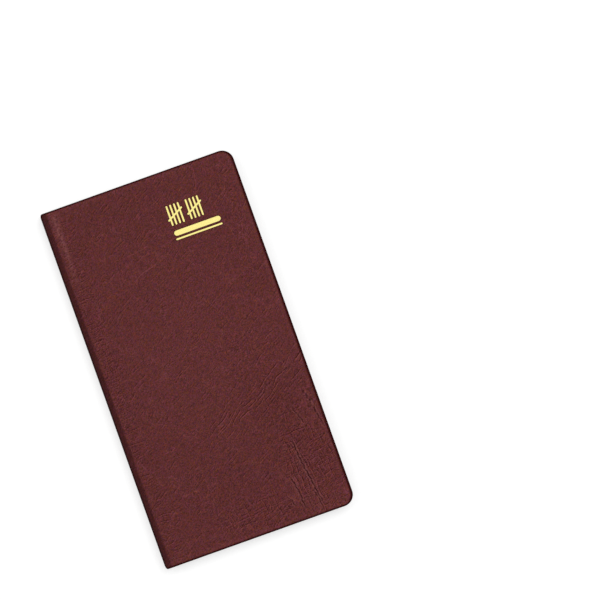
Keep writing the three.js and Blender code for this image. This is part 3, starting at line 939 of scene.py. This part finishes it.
def stroke_mesh(start, end, width):
    """A round-ended bar with eased upper edges."""
    sx, sy = SPINE_X + start[0], HEAD_Y - start[1]
    ex, ey = SPINE_X + end[0], HEAD_Y - end[1]
    heading = math.atan2(ey - sy, ex - sx)
    steps = 10
    levels = (
        (0, FOIL_LOW), (0, FOIL_HIGH - FOIL_EASE),
        (FOIL_EASE * 0.3, FOIL_HIGH - FOIL_EASE * 0.4), (FOIL_EASE, FOIL_HIGH),
    )
    vertices = []
    for inset, z in levels:
        radius = width / 2 - inset
        for cx, cy, turn in ((ex, ey, -math.pi / 2), (sx, sy, math.pi / 2)):
            for k in range(steps + 1):
                angle = heading + turn + math.pi * k / steps
                vertices.append((cx + radius * math.cos(angle), cy + radius * math.sin(angle), z))
    ring = 2 * (steps + 1)
    top = len(vertices) - ring
    faces = []
    for a in range(top):
        b = a + 1 if (a + 1) % ring else a + 1 - ring
        faces.append((a, b, b + ring, a + ring))
    faces.append(tuple(reversed(range(ring))))
    faces.append(tuple(range(top, top + ring)))
    return make_mesh("stroke", vertices, faces)


def joined(meshes):
    """The mesh of one solid made of overlapping ones."""
    whole = add_object("whole", meshes[0])
    for mesh in meshes[1:]:
        other = add_object("other", mesh)
        modifier = whole.modifiers.new("join", "BOOLEAN")
        modifier.operation = "UNION"
        modifier.solver = "EXACT"
        modifier.object = other
        ready = bpy.data.meshes.new_from_object(
            whole.evaluated_get(bpy.context.evaluated_depsgraph_get()))
        whole.modifiers.clear()
        whole.data = ready
        bpy.data.objects.remove(other)
    mesh = whole.data
    bpy.data.objects.remove(whole)
    return mesh


for node, strokes in STAMPING.items():
    mesh = joined([stroke_mesh(*stroke) for stroke in strokes])
    shade(mesh, foil_look, 60)
    stamp = add_object(node.replace("foil", "stamp"), mesh)
    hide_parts(node)
    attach(stamp, "front_cover")


# Sheets of the section, each folded once

rng = np.random.default_rng(7)


def sheet_path(radius, width):
    """A folded sheet from the back leaf's fore edge, round its bend, to the front leaf's fore edge.

    Gives x and z from the fold's axis, the outward direction, and how far out on a leaf each place
    is: back negative, front positive, and 0 on the bend.
    """
    fore_steps = LEAF_CORNER * np.array([0.0, 0.03, 0.13, 0.3, 0.6, 1.0])
    flats = np.concatenate([width - fore_steps, np.linspace(width - LEAF_CORNER, 0, 12)[1:]])
    bend_steps = 6 + round(radius * 4)
    bend = math.pi * np.arange(1, bend_steps) / bend_steps
    level = np.zeros(len(flats))
    nx = np.concatenate([level, -np.sin(bend), level])
    nz = np.concatenate([level - 1, -np.cos(bend), level + 1])
    out = np.concatenate([flats, np.zeros(len(bend)), flats[::-1]])
    return out + radius * nx, radius * nz, nx, nz, out * nz


def folded_sheet(index):
    """One sheet, a back leaf and a front leaf, counted from the centre spread outwards."""
    radius = LEAF_PITCH * (index + 0.5)
    width = LEAF_WIDTH - FORE_CREEP * (SHEETS - 1 - index) / SHEETS + rng.uniform(-LEAF_PLAY, 0.0)
    shift = rng.uniform(-LEAF_PLAY, LEAF_PLAY)
    x, z, nx, nz, run = sheet_path(radius, width)
    half = LEAF_HEIGHT / 2 - corner_loss(LEAF_CORNER, width - np.abs(run))
    apart = np.full(len(x), index * SHEET_STEP)
    vertices, page = [], []
    for offset in (LEAF / 2, -LEAF / 2):
        for share in LEAF_ROWS:
            y = half * share
            out_x, out_z = FOLD_X + x + nx * offset, MIDDLE_Z + z + nz * offset
            vertices.append(np.stack([out_x, y + shift, out_z], -1))
            page.append(np.stack([run, LEAF_HEIGHT / 2 - y, apart], -1))
    number = f"{index + 1:02d}"
    sheet = make_piece(
        "sheet_" + number, np.concatenate(vertices), slab_faces(len(LEAF_ROWS), len(x), range(len(x))),
        leaf_look, {"page": np.concatenate(page)}, sharp_degrees=50,
    )
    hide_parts("back_leaf_" + number, "front_leaf_" + number)
    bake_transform(sheet)


for index in range(SHEETS):
    folded_sheet(index)


# Sewing thread: two twisted strands, drawn in at each hole

def twisted_thread(name, x, node, body):
    reach = LEAF_HEIGHT / 2 - THREAD_INSET
    count = round(2 * reach / STRAND_STEP) + 1
    corners = range(STRAND_SIDES)
    vertices, faces, along = [], [], []
    for strand in range(STRANDS):
        base = len(vertices)
        for y in np.linspace(reach, -reach, count):
            past = (LEAF_HEIGHT / 2 - FIRST_HOLE - y) % STITCH
            from_hole = min(past, STITCH - past)
            full = HOLE_SHARE + (1 - HOLE_SHARE) * smooth(0.0, HOLE_REACH, from_hole)
            turn = 2 * math.pi / TWIST_LENGTH * y + math.pi * strand
            cx = x + STRAND_OFFSET * full * math.cos(turn)
            cz = MIDDLE_Z + STRAND_OFFSET * full * math.sin(turn)
            for s in corners:
                angle = -2 * math.pi * s / STRAND_SIDES
                radius = STRAND_R * full
                vertices.append((cx + radius * math.cos(angle), y, cz + radius * math.sin(angle)))
                along.append((strand, y, angle))
        last = len(vertices) - STRAND_SIDES
        for ring in range(base, last, STRAND_SIDES):
            for s in corners:
                a, b = ring + s, ring + (s + 1) % STRAND_SIDES
                faces.append((a, a + STRAND_SIDES, b + STRAND_SIDES, b))
        faces.append(tuple(base + s for s in corners))
        faces.append(tuple(last + s for s in reversed(corners)))
    made = make_piece(name, vertices, faces, thread_look, {"along": along}, sharp_degrees=80)
    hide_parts(node)
    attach(made, body)


twisted_thread("gutter_thread", FOLD_X, "fold_thread", "back_leaves")
twisted_thread("back_thread", SPINE_X + SKIN + LINER + THREAD_OFF_LINER, "spine_thread", "spine")

for node in ("back_board", "front_board"):
    materials = frame["nodes"][node].data.materials
    materials.clear()
    materials.append(board_look)


# Floor, light and camera, in metres but for the camera's place

def floor():
    """A grey floor that keeps the shadow, and glows to white where the camera sees it."""
    half, drop, glow = 3.0, 0.00005, 0.62
    corners = [(-half, -half, 0), (half, -half, 0), (half, half, 0), (-half, half, 0)]
    mesh = bpy.data.meshes.new("floor")
    mesh.from_pydata(corners, [], [(0, 1, 2, 3)])
    made = add_object("floor", mesh)
    made.location.z = -drop
    n = Nodes(bpy.data.materials.new("white_floor"))
    seen = n.node("LightPath").outputs["Is Camera Ray"]
    plain = n.node("BsdfDiffuse", {"Color": (0.5, 0.5, 0.5, 1)})
    lit = n.node("Emission", {"Color": (1, 1, 1, 1), "Strength": n.times(seen, glow)})
    both = n.node("AddShader", {0: plain.outputs[0], 1: lit.outputs[0]})
    mesh.materials.append(n.show(both))


def lamp(name, place, size, power):
    """A square lamp that faces the book and doesn't show in it."""
    data = bpy.data.lights.new(name, "AREA")
    data.shape = "SQUARE"
    data.size = size
    data.energy = power
    made = add_object(name, data)
    made.location = place
    made.visible_glossy = False
    aim = -made.location.normalized()
    made.rotation_euler = aim.to_track_quat("-Z", "Y").to_euler()


def world():
    """White where it is seen straight, in a reflection or through a piece, and half that as light."""
    made = bpy.data.worlds.new("studio")
    bpy.context.scene.world = made
    n = Nodes(made, "OutputWorld")
    rays = n.node("LightPath").outputs
    seen = n.math("MAXIMUM", rays["Is Camera Ray"], rays["Is Glossy Ray"])
    seen = n.math("MAXIMUM", seen, rays["Is Transmission Ray"])
    strength = n.node("MapRange", {"Value": seen, "To Min": 0.5, "To Max": 1.0}).outputs["Result"]
    n.show(n.node("Background", {"Color": (1, 1, 1, 1), "Strength": strength}))


def camera():
    """Far enough off to see the whole picture's width through its lens."""
    data = bpy.data.cameras.new("camera")
    data.lens = LENS
    data.sensor_width = SENSOR
    data.clip_start, data.clip_end = 0.1, 20
    distance = PICTURE * PIXEL * MM * LENS / SENSOR
    made = add_object("camera", data)
    made.location = (CAMERA_X * MM, CAMERA_Y * MM, THICK * MM + distance)
    made.rotation_euler = (0, 0, math.radians(CAMERA_TURN))
    bpy.context.scene.camera = made


floor()
lamp("key", (0.8, 0.5, 1.8), size=1.4, power=17)
lamp("fill", (-0.9, 0.8, 1.6), size=1.2, power=6)
world()
camera()
bpy.context.scene.view_settings.view_transform = "Standard"
